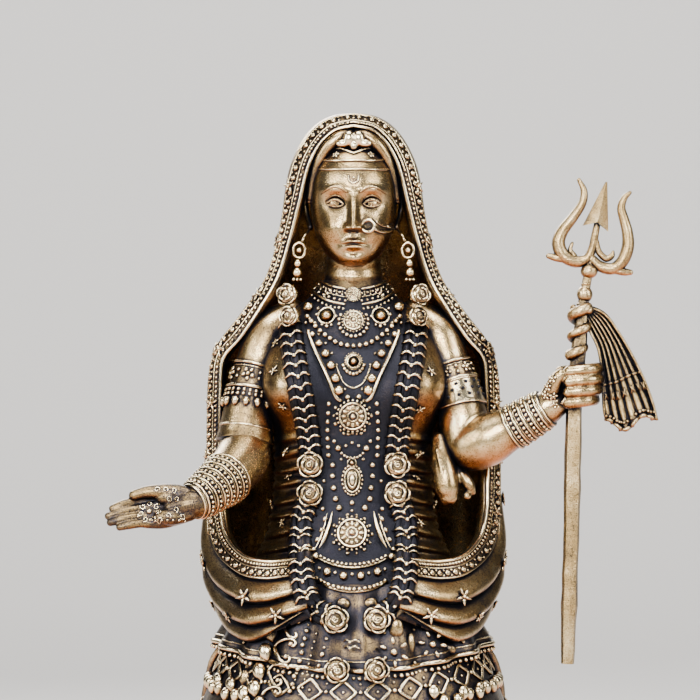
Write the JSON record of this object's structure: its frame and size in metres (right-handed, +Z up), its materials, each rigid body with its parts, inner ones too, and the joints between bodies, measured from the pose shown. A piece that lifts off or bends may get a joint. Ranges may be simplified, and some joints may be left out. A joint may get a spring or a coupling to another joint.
{
  "type": "goddess figurine",
  "caption": "Standing cast brass goddess figurine in a veil and flared skirt, open right hand, with a separate trident and pennant in the left fist, on a low round base.",
  "frame": {"origin": "centre of the base's underside", "axes": "+Z up along the standing figure, -Y the way it faces, +X towards its left hand with the trident"},
  "size_m": [0.0549, 0.045, 0.11],
  "materials": {
    "antique_brass": "cast, blackened in the hollows and polished on the high points",
    "filed_brass": "cast and hand filed, blackened and polished back"
  },
  "bodies": {
    "root": {"goddess_figure": "antique_brass", "trident": "filed_brass"}
  },
  "joints": []
}
